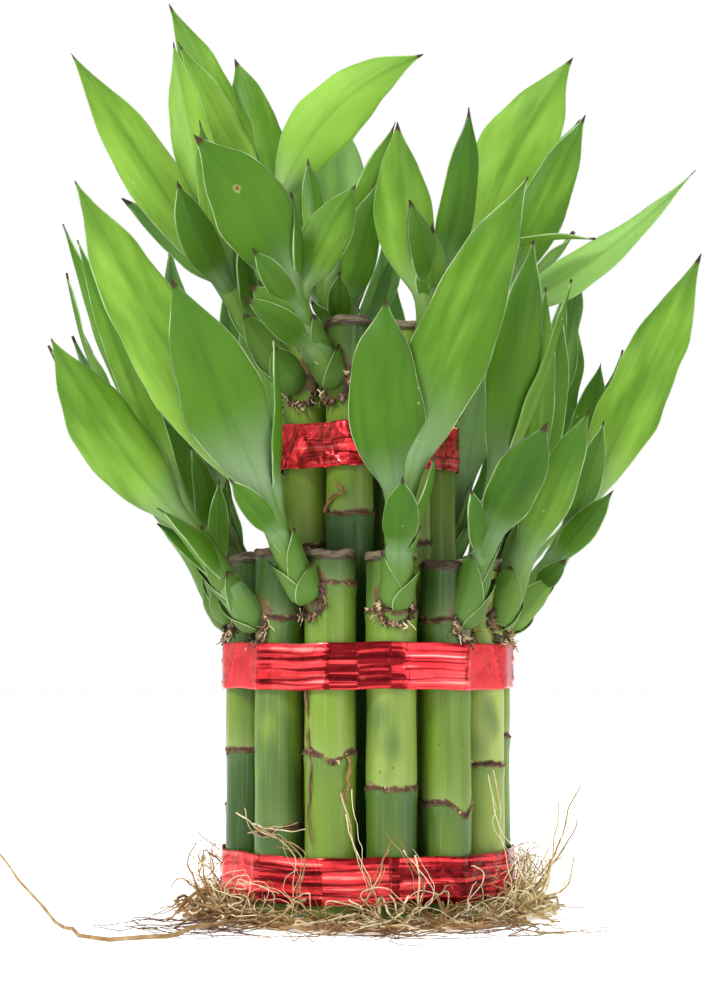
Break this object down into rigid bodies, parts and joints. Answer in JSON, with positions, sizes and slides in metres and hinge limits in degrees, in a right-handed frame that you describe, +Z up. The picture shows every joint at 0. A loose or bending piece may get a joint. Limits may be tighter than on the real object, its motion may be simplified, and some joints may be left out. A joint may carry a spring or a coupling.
{
  "type": "lucky bamboo",
  "caption": "Two-tier bundle of upright green canes, each with a leafy shoot, tied round with red foil ribbons and rooted at the foot, standing on its cut ends as a table plant.",
  "frame": {"origin": "on the floor, at the middle of the bundle's foot", "axes": "+Z up along the canes, -Y toward the front, which the picture shows, +X to its right"},
  "size_m": [0.1886, 0.1588, 0.2573],
  "materials": {
    "cane": "smooth satin green cane with brown ring scars and a greyed cut top",
    "leaf": "satin fresh leaf with parallel veins, pale margins and dry brown tips",
    "ribbon": "red metallised foil, creased and pleated lengthwise",
    "root": "dry matt cream, tan and brown roots"
  },
  "bodies": {
    "root": {"cane_outer_01": "cane", "cane_outer_02": "cane", "cane_outer_03": "cane", "cane_outer_04": "cane", "cane_outer_05": "cane", "cane_outer_06": "cane", "cane_outer_07": "cane", "cane_outer_08": "cane", "cane_outer_09": "cane", "cane_outer_10": "cane", "cane_outer_11": "cane", "cane_outer_12": "cane", "cane_outer_13": "cane", "cane_inner_01": "cane", "cane_inner_02": "cane", "cane_inner_03": "cane", "cane_inner_04": "cane", "cane_inner_05": "cane", "cane_inner_06": "cane", "cane_inner_07": "cane", "cane_centre": "cane", "shoot_outer_01": "leaf", "shoot_outer_02": "leaf", "shoot_outer_03": "leaf", "shoot_outer_04": "leaf", "shoot_outer_05": "leaf", "shoot_outer_06": "leaf", "shoot_outer_07": "leaf", "shoot_outer_08": "leaf", "shoot_outer_09": "leaf", "shoot_outer_10": "leaf", "shoot_outer_11": "leaf", "shoot_outer_12": "leaf", "shoot_outer_13": "leaf", "shoot_inner_01": "leaf", "shoot_inner_02": "leaf", "shoot_inner_03": "leaf", "shoot_inner_04": "leaf", "shoot_inner_05": "leaf", "shoot_inner_06": "leaf", "shoot_inner_07": "leaf", "shoot_centre": "leaf", "ribbon_bottom": "ribbon", "ribbon_middle": "ribbon", "ribbon_top": "ribbon", "root_mat": "root"}
  },
  "joints": []
}
